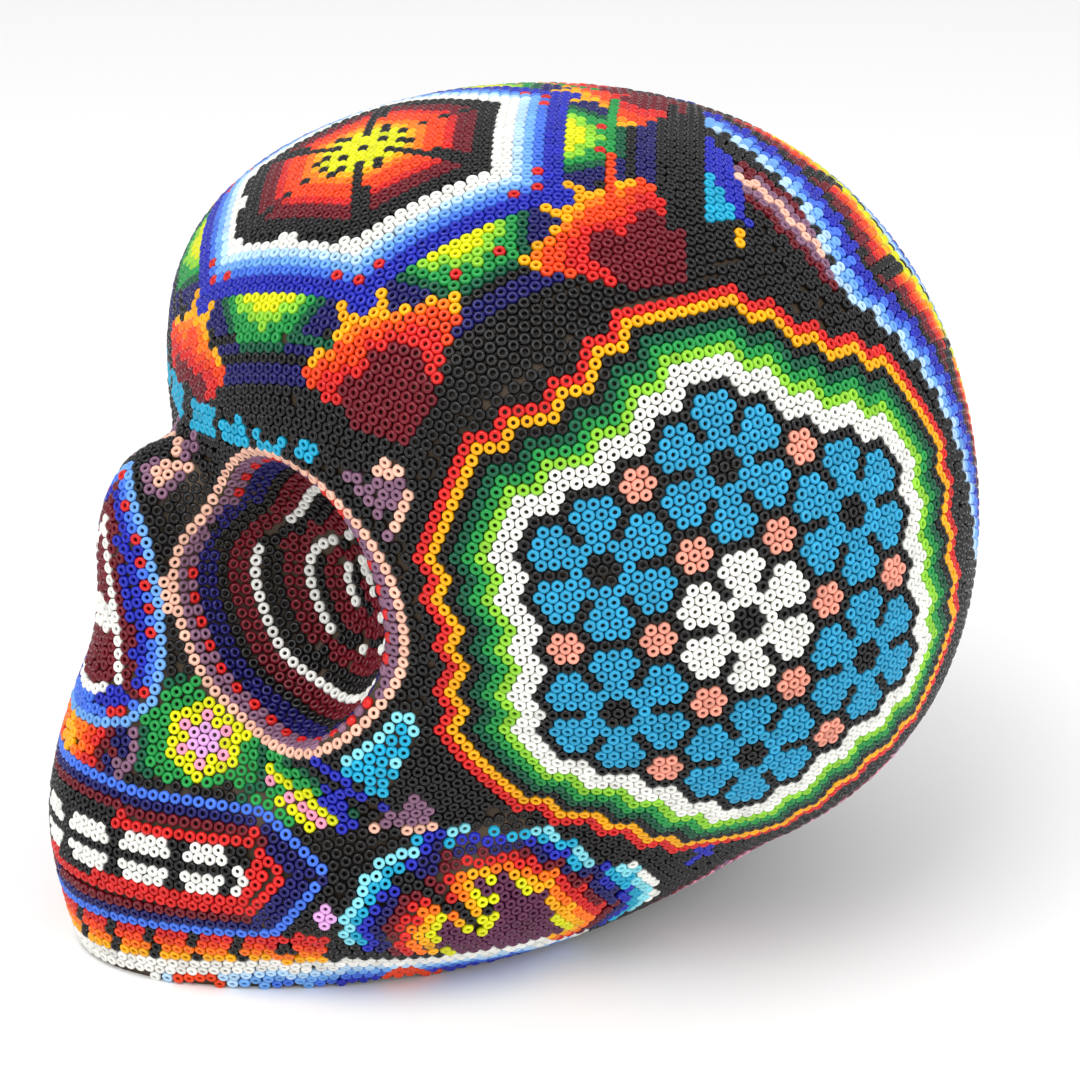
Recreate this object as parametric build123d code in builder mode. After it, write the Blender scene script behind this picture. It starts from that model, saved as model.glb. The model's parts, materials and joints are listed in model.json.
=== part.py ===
from build123d import *
import os
from math import cos, pi, radians, sin, sqrt

# A skull ornament covered with glass seed beads.
# Millimetres, +Z up, face towards -Y, the skull's own left side towards +X.
# The origin is on the midline, in the plane of the flat base.

# ---- Driving dimensions -------------------------------------------------------------

BEAD_PITCH = 2.15  # distance between neighbouring beads in a closely packed row
BEAD_PROUD = 1.0  # how far a bead stands out of the wax
WAX_THICK = 1.5
WALL = 4.5  # wall of the cast skull
GAP = 0.05  # hairline clearance between neighbouring pieces

# Layers, as depths below the tops of the beads.
BEAD_BOTTOM = BEAD_PROUD
WAX_TOP = BEAD_BOTTOM + GAP
WAX_BOTTOM = WAX_TOP + WAX_THICK
CORE_TOP = WAX_BOTTOM + GAP
CORE_BOTTOM = CORE_TOP + WALL

# ---- The skull's shape --------------------------------------------------------------
# The form is a blend of ellipsoids, each centred on the midline or mirrored across it:
# centre, half sizes, turn about Z, lean about X (degrees) and width of the blend.

VAULT = ((0, 12, 86), (72, 70.5, 60.5), 0, 9.5, 0)
OCCIPUT = ((0, 22.5, 62.5), (73.5, 62.5, 56.5), 0, 0, 20)
FOREHEAD = ((0, -5.5, 109.5), (65, 49.5, 33), 0, 0, 14)
MUZZLE = ((0, -34.5, 17), (31.5, 50.5, 64.5), 0, 7.5, 12)
JAW = ((0, -15, 23.5), (52.5, 64.5, 30.5), 0, 0, 12)
CHEEKBONE = ((34, -35, 50), (16, 20.5, 15.5), -35, 0, 10)
NOSE_BRIDGE = ((0, -63, 71.5), (12, 12, 22), 0, 0, 8)
BLOBS = (VAULT, OCCIPUT, FOREHEAD, MUZZLE, JAW, CHEEKBONE, NOSE_BRIDGE)

# The eye socket is a spheroid bowl turned outwards, its top leaning towards the nose.
SOCKET_CENTRE = (31.5, -55.5, 74.5)
SOCKET_ACROSS = 21
SOCKET_TALL = 24.5
SOCKET_TURN = 34
SOCKET_LEAN = 12

SECTION_POINTS = 56  # points round each upright slice
SECTIONS_PER_SIDE = 18
SLICE_CENTRE = (20, 75)  # inside point of the middle slice, in Y and Z

ROOM = (100, 200, 160)  # a box that holds the left half of the skull with room to spare
ABOVE_BASE_ON_THE_LEFT = (Align.MIN, Align.CENTER, Align.MIN)


SOCKET_OUTWARD = (sin(radians(SOCKET_TURN)), -cos(radians(SOCKET_TURN)), 0)
SOCKET_SIDEWAYS = (cos(radians(SOCKET_TURN)), sin(radians(SOCKET_TURN)), 0)
SOCKET_PLANE = Plane(SOCKET_CENTRE, x_dir=SOCKET_SIDEWAYS, z_dir=SOCKET_OUTWARD).rotated((0, 0, SOCKET_LEAN))


def turned(a, b, angle):
    """The pair (a, b) seen from axes turned by the angle, in degrees."""
    t = radians(angle)
    return a * cos(t) + b * sin(t), b * cos(t) - a * sin(t)


def ellipsoid(u, v, w, radii):
    """How far the point lies outside an ellipsoid about the origin, nearly in millimetres."""
    scaled = [c / r for c, r in zip((u, v, w), radii)]
    near = sqrt(sum(s * s for s in scaled))
    slope = sqrt(sum((s / r) ** 2 for s, r in zip(scaled, radii)))
    return near * (near - 1) / max(slope, 1e-9)


def blend(a, b, width):
    """Two shapes joined with a fillet of the given width."""
    if width == 0:
        return min(a, b)
    h = min(max(0.5 + 0.5 * (b - a) / width, 0), 1)
    return b * (1 - h) + a * h - width * h * (1 - h)


def outside(x, y, z):
    """How far the point lies outside the tops of the beads; negative inside."""
    x = abs(x)
    shape = 1e3
    for centre, radii, turn, lean, width in BLOBS:
        u, v = turned(x - centre[0], y - centre[1], turn)
        v, w = turned(v, z - centre[2], lean)
        shape = blend(ellipsoid(u, v, w, radii), shape, width)
    return shape


def ear_point(depth):
    """The widest point of the skull at a depth below the bead tops."""
    x, y, z = 90.0, 15.0, 76.0
    step = 0.5
    for _ in range(60):
        x -= 0.8 * (outside(x, y, z) + depth)
        y -= 20 * (outside(x, y + step, z) - outside(x, y - step, z))
        z -= 20 * (outside(x, y, z + step) - outside(x, y, z - step))
    return x, y, z


def slice_points(x, centre, depth):
    """Points round the upright slice at x, a little closer together on the face."""
    points = []
    for i in range(SECTION_POINTS):
        t = 2 * pi * i / SECTION_POINTS
        angle = t + 0.3 * sin(t)
        away_y, away_z = cos(angle), sin(angle)
        reach = 130.0
        for _ in range(60):
            miss = outside(x, centre[0] + reach * away_y, centre[1] + reach * away_z) + depth
            reach = max(reach - 0.8 * miss, 0.3)
            if abs(miss) < 0.003:
                break
        points.append((centre[0] + reach * away_y, centre[1] + reach * away_z))
    return points


def skull_form(depth):
    """The solid skull form at a depth below the bead tops, before the base is cut flat."""
    ear_x, ear_y, ear_z = ear_point(depth)
    even = [i / SECTION_POINTS for i in range(SECTION_POINTS + 1)]
    with BuildPart() as form:
        slices = []
        for k in range(1 - SECTIONS_PER_SIDE, SECTIONS_PER_SIDE):
            x = ear_x * sin(pi / 2 * k / SECTIONS_PER_SIDE)
            share = (x / ear_x) ** 2
            centre_y = SLICE_CENTRE[0] + (ear_y - SLICE_CENTRE[0]) * share
            centre_z = SLICE_CENTRE[1] + (ear_z - SLICE_CENTRE[1]) * share
            points = slice_points(x, (centre_y, centre_z), depth)
            with BuildSketch(Plane.YZ.offset(x)) as outline:
                with BuildLine():
                    add(Edge.make_spline(points, periodic=True, parameters=even))
                make_face()
            slices.append(outline.sketch.face())
        ears = [Vertex(side * ear_x, ear_y, ear_z) for side in (-1, 1)]
        loft(sections=[ears[0]] + slices + [ears[1]])
    return form.part


def socket_bowl(depth):
    """The hollow of the left eye socket, as a solid, at a depth below the bead tops."""
    across, tall = SOCKET_ACROSS + depth, SOCKET_TALL + depth
    with BuildPart() as bowl:
        with BuildSketch(SOCKET_PLANE):
            Ellipse(across, tall)
            Rectangle(across, 2 * tall, align=(Align.MAX, Align.CENTER), mode=Mode.SUBTRACT)
        revolve(axis=Axis(SOCKET_PLANE.origin, SOCKET_PLANE.y_dir))
    return bowl.part


def left_half(depth):
    """The left half of the skull, solid, at a depth below the bead tops."""
    with BuildPart() as half:
        add(skull_form(depth))
        Box(*ROOM, align=ABOVE_BASE_ON_THE_LEFT, mode=Mode.INTERSECT)
        add(socket_bowl(depth), mode=Mode.SUBTRACT)
    return half.part


def left_shell(top, bottom):
    """The left half of a coat between two depths, cut off flat at the base."""
    with BuildPart() as hollow:
        add(skull_form(bottom))
        add(socket_bowl(bottom), mode=Mode.SUBTRACT)
    with BuildPart() as shell:
        add(left_half(top))
        add(hollow.part, mode=Mode.SUBTRACT)
    return shell.part


os.makedirs("parts", exist_ok=True)


def save(piece, name):
    piece.label = name
    export_step(piece, "parts/" + name + ".step")


def save_pair(piece, name):
    """Save a left piece, and its mirror image as the right piece."""
    save(piece, name + "_left")
    save(piece.mirror(Plane.YZ), name + "_right")


def both_halves(left):
    """A left half and its mirror image, a hairline apart on the midline."""
    with BuildPart() as whole:
        add(left.moved(Location((GAP / 2, 0, 0))))
        mirror(about=Plane.YZ)
    return whole.part


# ---- The cast skull and its coat of wax ---------------------------------------------
# The cast is a hollow shell in two halves with a flat floor.

with BuildPart() as half_core:
    add(left_half(CORE_TOP))
    Box(ROOM[0], ROOM[1], WALL, align=ABOVE_BASE_ON_THE_LEFT, mode=Mode.INTERSECT)
    add(left_shell(CORE_TOP, CORE_BOTTOM))

save_pair(half_core.part.moved(Location((GAP / 2, 0, 0))), "skull_core")
save(both_halves(left_shell(WAX_TOP, WAX_BOTTOM)), "wax_coat")

# ---- Outlines of the fields of beads ------------------------------------------------
# A field is the stretch of the bead coat that one motif covers.

REACH = 60  # how far a cutter runs to each side of its plane
CROWN_REACH = 30
BACK_REACH = 30

CROWN_PLANE = Plane(origin=(0, -25, 142), x_dir=(1, 0, 0), z_dir=(0, -0.35, 0.94))
BACK_PLANE = Plane(origin=(0, 76, 108), x_dir=(-1, 0, 0), z_dir=(0, 0.86, 0.5))
SIDE_PLANE = Plane.YZ.offset(80)
FACE_PLANE = Plane(origin=(0, -80, 0), x_dir=(1, 0, 0), z_dir=(0, -1, 0))
FACE_REACH = 40
EYE_PLANE = SOCKET_PLANE.offset(-4)
EYE_REACH = 30

MEDALLION_R = 27.5
BORDER_R = 39.5
PETALS_HALF = (55, 46.5)
PETALS_SHIFT = 6.5
FLOWERS_R = 38.5
FLOWERS_CENTRE = (13, 78.5)
BANDS_R = 50.6
BANDS_CENTRE = (17, 79)
EYE_HALF = (21.6, 25.6)


def cutter(plane, reach, shape, margin=0.0):
    """A straight-sided cutter with the shape as its outline, grown by the margin."""
    with BuildPart() as block:
        with BuildSketch(plane):
            shape()
            if margin:
                offset(amount=margin, kind=Kind.INTERSECTION)
        extrude(amount=reach, both=True)
    return block.part


def hexagon(radius):
    """A hexagon with a corner to the front and to the back."""
    return lambda: RegularPolygon(radius, 6, rotation=30)


def flowers():
    with Locations(FLOWERS_CENTRE):
        RegularPolygon(FLOWERS_R, 6)


def polygon(*points):
    return lambda: Polygon(*points, align=None)


def oval(centre, half, sides):
    """A many-sided oval: a field's edge follows rows of beads, so it is never a true curve."""
    turns = [2 * pi * (i + 0.5) / sides for i in range(sides)]
    return polygon(*[(centre[0] + half[0] * cos(t), centre[1] + half[1] * sin(t)) for t in turns])


def mirrored_outline(*points):
    """A closed outline, symmetric about the midline, from the points of its left half."""
    return polygon(*points, *[(-x, z) for x, z in reversed(points) if x > 0])


bands = oval(BANDS_CENTRE, (BANDS_R, BANDS_R), 24)
petals = oval((0, PETALS_SHIFT), PETALS_HALF, 24)
eye = oval((0, 0), EYE_HALF, 16)
nose = mirrored_outline((0, 92), (5.5, 87), (9, 76), (10.3, 62), (12.5, 54), (9, 47.6), (0, 46.6))
mouth = mirrored_outline((0, 39), (36, 39), (43, 28), (36, 15), (0, 15))
upper_lip = mirrored_outline((0, 46.4), (20, 46.4), (22, 39.1), (0, 39.1))
brow = mirrored_outline((0, 104.8), (38, 104.8), (38, 100.8), (0, 100.8))
chin = polygon((-95, -1), (-95, 14), (-50, 14), (-10, 3), (-8, -1))
jaw = polygon((-49, 35), (-50, 16), (-40, 11.5), (-12, 7), (10, 12), (14, 23), (0, 30), (-25, 35))
cheek = polygon((16.5, 55), (16.5, 47), (20.5, 46.9), (22.6, 39.6), (37, 39.6), (41, 42.5), (30, 43.5), (18.5, 50.5))
arrow = polygon((-40, 46), (-35, 46), (-35, 61), (-38, 58))
temple = polygon((-41, 103.5), (-35, 103.5), (-35, 88), (-38, 93))

# ---- Fields of beads ----------------------------------------------------------------
# Where two outlines meet, the field that lies under the other gives way.

bead_coat = left_shell(0, BEAD_BOTTOM)
cutters = {}


def take(name, plane, reach, shape, paired=False, under=()):
    """Cut a field out of the left half of the bead coat, and save it with its mirror image."""
    cutters[name] = cutter(plane, reach, shape, GAP)
    with BuildPart() as field:
        add(bead_coat)
        add(cutter(plane, reach, shape), mode=Mode.INTERSECT)
        if under:
            add([cutters[other] for other in under], mode=Mode.SUBTRACT)
    if paired:
        save_pair(field.part, name)
    else:
        save(both_halves(field.part), name)


take("rosette_flowers", SIDE_PLANE, REACH, flowers, paired=True)
take("rosette_bands", SIDE_PLANE, REACH, bands, paired=True, under=["rosette_flowers"])
take("crown_medallion", CROWN_PLANE, CROWN_REACH, hexagon(MEDALLION_R))
take("crown_blue_ring", CROWN_PLANE, CROWN_REACH, hexagon(BORDER_R), under=["crown_medallion"])
take("crown_petals", CROWN_PLANE, CROWN_REACH, petals, under=["crown_blue_ring", "rosette_bands"])
take("back_medallion", BACK_PLANE, BACK_REACH, hexagon(MEDALLION_R))
back_neighbours = ["back_medallion", "rosette_bands", "crown_petals"]
take("back_border", BACK_PLANE, BACK_REACH, hexagon(BORDER_R), under=back_neighbours)
take("eye_socket", EYE_PLANE, EYE_REACH, eye, paired=True)
take("nose", FACE_PLANE, FACE_REACH, nose)
take("mouth", FACE_PLANE, FACE_REACH, mouth)
take("upper_lip", FACE_PLANE, FACE_REACH, upper_lip)
take("brow", FACE_PLANE, FACE_REACH, brow)
take("cheek", FACE_PLANE, FACE_REACH, cheek, paired=True)
take("cheek_arrow", SIDE_PLANE, REACH, arrow, paired=True)
take("temple", SIDE_PLANE, REACH, temple, paired=True)
take("chin_band", Plane.YZ, 2 * REACH, chin)
take("jaw", SIDE_PLANE, REACH, jaw, paired=True, under=["mouth", "chin_band"])

# What is left between the motifs is filled with black beads.
with BuildPart() as ground:
    add(bead_coat)
    add(list(cutters.values()), mode=Mode.SUBTRACT)

save_pair(ground.part.moved(Location((GAP / 2, 0, 0))), "ground")
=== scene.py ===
import json
from math import ceil, cos, pi, radians, sin, sqrt

import bpy
import numpy as np
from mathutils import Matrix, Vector
from mathutils.bvhtree import BVHTree
from mathutils.kdtree import KDTree


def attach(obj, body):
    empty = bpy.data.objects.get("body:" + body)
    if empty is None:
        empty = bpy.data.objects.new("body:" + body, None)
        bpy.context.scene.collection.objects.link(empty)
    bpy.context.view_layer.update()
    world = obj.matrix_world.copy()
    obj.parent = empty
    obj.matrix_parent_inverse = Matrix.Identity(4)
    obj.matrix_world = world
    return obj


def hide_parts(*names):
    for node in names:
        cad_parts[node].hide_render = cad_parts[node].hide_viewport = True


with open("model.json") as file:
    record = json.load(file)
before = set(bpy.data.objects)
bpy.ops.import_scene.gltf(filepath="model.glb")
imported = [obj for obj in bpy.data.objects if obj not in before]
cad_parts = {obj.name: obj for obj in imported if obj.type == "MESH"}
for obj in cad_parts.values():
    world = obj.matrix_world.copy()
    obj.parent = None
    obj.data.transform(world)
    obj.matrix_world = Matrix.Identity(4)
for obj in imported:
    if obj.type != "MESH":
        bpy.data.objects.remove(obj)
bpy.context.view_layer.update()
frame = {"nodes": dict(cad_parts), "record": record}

# A skull covered with glass seed beads. Worked out in millimetres and written in metres.

MM = 0.001
PITCH = 2.15  # from bead to bead along a row
ROW = PITCH * sqrt(3) / 2  # from row to row
LOWEST = 0.9  # height of the lowest beads above the table
ON_MIDDLE = 0.3  # beads this near the middle plane are moved onto it
rng = np.random.default_rng(20)

# ---- The skull's surface, at the tops of the beads ----------------------------------
# A blend of ellipsoids: centre, half sizes, turn, lean and width of the blend.

BLOBS = (
    ((0, 12, 86), (72, 70.5, 60.5), 0, 9.5, 0),
    ((0, 22.5, 62.5), (73.5, 62.5, 56.5), 0, 0, 20),
    ((0, -5.5, 109.5), (65, 49.5, 33), 0, 0, 14),
    ((0, -34.5, 17), (31.5, 50.5, 64.5), 0, 7.5, 12),
    ((0, -15, 23.5), (52.5, 64.5, 30.5), 0, 0, 12),
    ((34, -35, 50), (16, 20.5, 15.5), -35, 0, 10),
    ((0, -63, 71.5), (12, 12, 22), 0, 0, 8),
)
SOCKET_CENTRE = (31.5, -55.5, 74.5)
SOCKET_RADII = (21, 21, 24.5)
SOCKET_TURN = 34
SOCKET_LEAN = 12
LIP = 3.0  # width of the fillet along the socket's rim


def turned(a, b, angle):
    """The pair of coordinates seen from axes turned by an angle in degrees."""
    t = radians(angle)
    return a * cos(t) + b * sin(t), b * cos(t) - a * sin(t)


def ellipsoid(u, v, w, radii):
    """Roughly the distance outside an ellipsoid."""
    q = np.stack([u / radii[0], v / radii[1], w / radii[2]], -1)
    near = np.sqrt((q * q).sum(-1))
    slope = np.sqrt(((q / np.array(radii)) ** 2).sum(-1))
    return near * (near - 1) / np.maximum(slope, 1e-9)


def blend(a, b, width):
    """The union of two shapes, with a fillet of the given width."""
    if width == 0:
        return np.minimum(a, b)
    h = np.clip(0.5 + 0.5 * (b - a) / width, 0, 1)
    return b * (1 - h) + a * h - width * h * (1 - h)


def bone(p):
    """Distance outside the skull, its sockets not yet hollowed out."""
    x, y, z = np.abs(p[:, 0]), p[:, 1], p[:, 2]
    shape = np.full(len(p), 1e3)
    for centre, radii, turn, lean, width in BLOBS:
        u, v = turned(x - centre[0], y - centre[1], turn)
        v, w = turned(v, z - centre[2], lean)
        shape = blend(ellipsoid(u, v, w, radii), shape, width)
    return shape


def socket(p):
    """Distance outside the bowls of the eye sockets."""
    u, v = turned(np.abs(p[:, 0]) - SOCKET_CENTRE[0], p[:, 1] - SOCKET_CENTRE[1], SOCKET_TURN)
    u, w = turned(u, p[:, 2] - SOCKET_CENTRE[2], SOCKET_LEAN)
    return ellipsoid(u, v, w, SOCKET_RADII)


def field(p):
    """Distance outside the finished surface."""
    return -blend(-bone(p), socket(p), LIP)


def slope(p, step=0.2):
    """The way outwards from the surface."""
    return np.stack([field(p + e) - field(p - e) for e in np.eye(3) * step], -1) / (2 * step)


def unit(v):
    return v / np.maximum(np.linalg.norm(v, axis=-1, keepdims=True), 1e-12)


def settle(p, rounds=3):
    """The points moved onto the surface."""
    p = np.array(p, float).reshape(-1, 3)
    for _ in range(rounds):
        g = slope(p)
        p = p - (field(p) / np.maximum((g * g).sum(-1), 0.2))[:, None] * g
    return p


def walk(start, headings, distances, steps=36):
    """Points reached by walking straight over the surface from one start, each its own way and distance."""
    p = np.repeat(np.array(start, float)[None], len(distances), 0)
    d = unit(np.array(headings, float))
    h = (np.array(distances, float) / steps)[:, None]
    for _ in range(steps):
        p = settle(p + d * h, 1)
        n = unit(slope(p))
        d = unit(d - (d * n).sum(-1, keepdims=True) * n)
    return settle(p, 2)


# ---- Colours ------------------------------------------------------------------------

def linear(r, g, b):
    """A colour given in screen values from 0 to 255, as the renderer takes it."""
    c = np.array([r, g, b]) / 255.0
    return np.where(c <= 0.04045, c / 12.92, ((c + 0.055) / 1.055) ** 2.4)


PALETTE = {
    "black": linear(24, 23, 24),
    "white": linear(232, 232, 226),
    "red": linear(203, 32, 30),
    "wine": linear(104, 16, 30),
    "scarlet": linear(228, 66, 20),
    "orange": linear(243, 116, 16),
    "amber": linear(238, 168, 8),
    "lemon": linear(214, 216, 8),
    "lime": linear(138, 200, 50),
    "green": linear(30, 142, 66),
    "pine": linear(10, 84, 56),
    "pale": linear(178, 212, 240),
    "sky": linear(108, 164, 228),
    "corn": linear(66, 112, 216),
    "royal": linear(32, 40, 168),
    "navy": linear(26, 24, 92),
    "cerulean": linear(40, 150, 190),
    "turquoise": linear(24, 160, 196),
    "aqua": linear(128, 210, 222),
    "salmon": linear(226, 150, 130),
    "peach": linear(232, 182, 160),
    "mauve": linear(128, 92, 116),
    "lilac": linear(214, 160, 214),
    "pink": linear(236, 150, 180),
    "plum": linear(92, 40, 72),
}


# ---- The store of beads -------------------------------------------------------------

class Beads:
    """Beads placed so far on the left half, with a grid of cells for finding neighbours."""

    def __init__(self):
        self.points, self.colours, self.nodes = [], [], []
        self.cells = {}

    def around(self, p):
        """Numbers of the beads in the cells round a point."""
        i, j, k = (int(c // PITCH) for c in p)
        found = []
        for a in (i - 1, i, i + 1):
            for b in (j - 1, j, j + 1):
                for c in (k - 1, k, k + 1):
                    found += self.cells.get((a, b, c), ())
        return found

    def free(self, p, gap):
        for q in self.around(p):
            r = self.points[q]
            if (r[0] - p[0]) ** 2 + (r[1] - p[1]) ** 2 + (r[2] - p[2]) ** 2 < gap * gap:
                return False
        return True

    def add(self, p, colour, node, gap=0.85 * PITCH):
        p = (float(p[0]), float(p[1]), float(p[2]))
        touches_mirror = ON_MIDDLE < p[0] < 0.45 * PITCH
        if p[2] < LOWEST or p[0] < -ON_MIDDLE or touches_mirror or not self.free(p, gap):
            return
        if p[0] <= ON_MIDDLE:
            p = (0.0, p[1], p[2])
        key = tuple(int(c // PITCH) for c in p)
        self.cells.setdefault(key, []).append(len(self.points))
        self.points.append(p)
        self.colours.append(colour)
        self.nodes.append(node)


beads = Beads()


# ---- Hexagonal charts ---------------------------------------------------------------

def distance(i, j):
    """Steps from the middle of the lattice."""
    return max(abs(i), abs(j), abs(i + j))


def lattice(reach):
    """Lattice spots up to the given number of steps, from the middle outwards."""
    spots = [(i, j) for i in range(-reach, reach + 1) for j in range(-reach, reach + 1)]
    return sorted((s for s in spots if distance(*s) <= reach), key=lambda s: (distance(*s), s))


def side_of(i, j):
    """Ring, side and place along the side of a lattice spot."""
    ring = distance(i, j)
    if ring == 0:
        return 0, 0, 0
    for k in range(6):
        if i > 0 and j >= 0:
            return ring, k, j
        i, j = i + j, -i
    return ring, 0, 0


def chart(centre, axis, reach, paint, node, gap=0.85 * PITCH):
    """Lay beads in an exact hexagonal lattice round a centre; paint(i, j) gives colour or None."""
    c = settle(np.array([centre], float))[0]
    n = unit(slope(c[None]))[0]
    e1 = unit(np.array(axis, float) - np.dot(axis, n) * n)
    e2 = np.cross(n, e1)
    spots = lattice(reach)
    u = np.array([(i + j / 2) * PITCH for i, j in spots])
    v = np.array([j * ROW for i, j in spots])
    headings = u[:, None] * e1 + v[:, None] * e2
    headings[0] = e1
    places = walk(c, headings, np.hypot(u, v))
    for (i, j), p in zip(spots, places):
        colour = paint(i, j, p)
        if colour is not None:
            beads.add(p, colour, node(i, j, p) if callable(node) else node, gap)


CORNERS = ((1, 0), (0, 1), (-1, 1), (-1, 0), (0, -1), (1, -1))
FULL_RINGS = 13  # rings from here on lose beads, because the head curves away


def rings(centre, axis, last, paint, node, squeeze=1.0, radius=72.0, gap=0.85 * PITCH):
    """Lay hexagonal rings round a centre, each with as many beads as its true length takes.

    Rows lie in each other's hollows at the middle of a side. paint(ring, side, place, count, point)."""
    c = settle(np.array([centre], float))[0]
    n = unit(slope(c[None]))[0]
    e1 = unit(np.array(axis, float) - np.dot(axis, n) * n)
    e2 = np.cross(n, e1)
    for ring in range(last + 1):
        bend = ring * ROW * 1.07 / radius
        fit = ring * sin(bend) / bend * (1 + squeeze) / 2 if ring else 0
        count = ring if ring < FULL_RINGS else ring - 2 * int(round((ring - fit) / 2))
        spots, labels = [], []
        for side in range(6):
            (i0, j0), (i1, j1) = CORNERS[side], CORNERS[(side + 1) % 6]
            for place in range(max(count, 1)):
                t = place / max(count, 1)
                spots.append((ring * (i0 + (i1 - i0) * t), ring * (j0 + (j1 - j0) * t)))
                labels.append((side, place))
            if ring == 0:
                break
        spots = np.array(spots)
        u = (spots[:, 0] + spots[:, 1] / 2) * PITCH * squeeze
        v = spots[:, 1] * ROW
        headings = u[:, None] * e1 + v[:, None] * e2 + 1e-6 * e1
        for (side, place), p in zip(labels, walk(c, headings, np.hypot(u, v))):
            colour = paint(ring, side, place, max(count, 1), p)
            if colour is not None:
                beads.add(p, colour, node(ring), gap)


# Rosette on the side of the head: seven big flowers, twelve small ones and stepped bands.

FLOWER_STEP = 7  # lattice steps between neighbouring small flowers


def rosette_motif():
    """Lattice spot to colour for the flowers."""
    motif = {}
    centres = [((0, 0), "white")]
    spot = (FLOWER_STEP, FLOWER_STEP)
    for _ in range(6):
        centres.append((spot, "cerulean"))
        spot = (-spot[1], spot[0] + spot[1])
    for (ci, cj), colour in centres:
        for i, j in lattice(6):
            ring, _, place = side_of(i, j)
            petal = ring == 2 or (3 <= ring <= 5 and place != 0)
            petal = petal or (ring == 6 and place in (2, 3, 4))
            if petal:
                motif[(ci + i, cj + j)] = colour
            elif ring < 2:
                motif[(ci + i, cj + j)] = "black"
    spot = (FLOWER_STEP, 0)
    for _ in range(6):
        for times in (1, 2):
            for i, j in lattice(1):
                motif[(times * spot[0] + i, times * spot[1] + j)] = "salmon"
        spot = (-spot[1], spot[0] + spot[1])
    return motif


BANDS = ("black", "white", "white", "lime", "green", "pine", "black", "amber", "red")
ROSETTE_REACH = 29
FLOWERS_CENTRE = (13, 78.5)
FLOWERS_RADIUS = 37
motif = rosette_motif()
motif_spots = np.array(list(motif))


def rosette(i, j, p):
    if (i, j) in motif:
        return motif[(i, j)]
    d = np.abs(motif_spots - (i, j))
    away = np.maximum(np.maximum(d[:, 0], d[:, 1]), np.abs((motif_spots - (i, j)).sum(1))).min()
    return BANDS[away - 1] if away <= len(BANDS) else None


def rosette_node(i, j, p):
    y, z = FLOWERS_CENTRE
    flowers = (p[1] - y) ** 2 + (p[2] - z) ** 2 < FLOWERS_RADIUS ** 2
    return "rosette_flowers" if flowers else "rosette_bands"


# Crown: medallion, blue ring, green domes and orange flames.

RINGS = ("lemon",) * 5 + ("amber", "orange", "scarlet", "scarlet", "red", "wine", "wine", "black", "black",
                          "white", "white", "pale", "sky", "corn", "royal", "royal")
DOME = (
    ("pine", "green", "lime", "lemon", "lemon", "lemon", "lemon", "lemon", "lemon", "lime", "green", "pine"),
    ("pine", "green", "lime", "lime", "lemon", "lemon", "lemon", "lime", "lime", "green", "pine"),
    ("pine", "green", "green", "lime", "lime", "lime", "lime", "green", "green", "pine"),
    ("pine", "green", "red", "green", "lime", "green", "red", "green", "pine"),
    ("pine", "green", "green", "green", "green", "green", "green", "pine"),
    ("pine", "pine", "pine", "pine", "pine"),
)
MEDALLION_EDGE = 13  # last ring of the crown's medallion
FIELD_START = 21  # first ring of the domes and flames
RED_DOTS = 18  # ring of the blue band with red dots
CROWN_LAST = 34
CROWN_BACK = 36
CROWN_LOWEST = 103.5
FLAME_SHADES = ("orange", "orange", "scarlet", "scarlet", "red", "red", "wine")
FLAME_HALF = (2, 2, 2, 3, 4, 5, 6, 7, 7, 6, 5, 4)
FLAME_FLARE = (2, 2, 2, 4, 6, 8, 8, 8, 7, 6, 5, 4)


def medallion(ring, side, place, dotted_sides):
    if side in dotted_sides:
        ray = place == 0 and ring % 2 == 0
    else:
        ray = (place == 0 and ring > 2) or (place == 1 and ring > 7)
    if ring < MEDALLION_EDGE - 1 and (ray or (ring, place) in ((4, 2), (5, 2))):
        return "black"
    if ring < 5:
        return "lemon"
    bulge = 1.3 * abs(2 * place / ring - 1) ** 3
    return RINGS[min(int(ring + bulge), MEDALLION_EDGE)]


def flame(out, corner, half):
    """Colour in a flame, by its row, the place from its middle line and half its width there."""
    if out == 0:
        return "amber" if corner == half else "royal"
    inside = half - corner
    if out == 1 or (inside == 0 and out < 7):
        return "amber"
    depth = max(out - 5, 0) + inside
    return FLAME_SHADES[min(depth, len(FLAME_SHADES) - 1)]


def crown(ring, side, place, count, p):
    if p[2] < CROWN_LOWEST or p[1] > CROWN_BACK:
        return None
    if ring <= MEDALLION_EDGE:
        return medallion(ring, side, place, (0, 3))
    corner = min(place, count - place)
    if ring < FIELD_START:
        return "red" if ring == RED_DOTS and corner in (0, 2) else RINGS[ring]
    out = ring - FIELD_START
    across = place - count / 2
    if out < len(DOME):
        row = DOME[out]
        at = across + (len(row) - 1) / 2
        if -0.01 <= at <= len(row) - 0.99:
            colour = row[int(at)]
            return "green" if colour == "red" and side in (0, 5) else colour
    flares = (side in (1, 4) and place < count / 2) or (side in (1, 4, 2, 3) and place > count / 2)
    halves = FLAME_FLARE if flares else FLAME_HALF
    if out < len(halves) and corner <= halves[out]:
        return flame(out, corner, halves[out])
    if out < 3 or (out in (7, 8) and abs(across) <= 5) or (3 <= out < 7 and abs(across) <= 8 - out / 2):
        return "navy" if out != 6 else "black"
    return "black"


# Back medallion with its zigzag border of blues.

BACK_SHADES = ("navy", "royal", "corn", "sky", "pale", "black",
               "lemon", "lemon", "amber", "orange", "scarlet", "red", "wine", "wine", "black",
               "royal", "royal", "corn", "sky", "pale", "pale")
BACK_MEDALLION = 11  # last ring of the back medallion
BACK_BORDER = 16  # last ring of the blue border round it
BACK_RAYS = range(19, 25)  # rings with a black bar at the corners and the middles of the sides
BACK_LAST = 31


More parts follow.
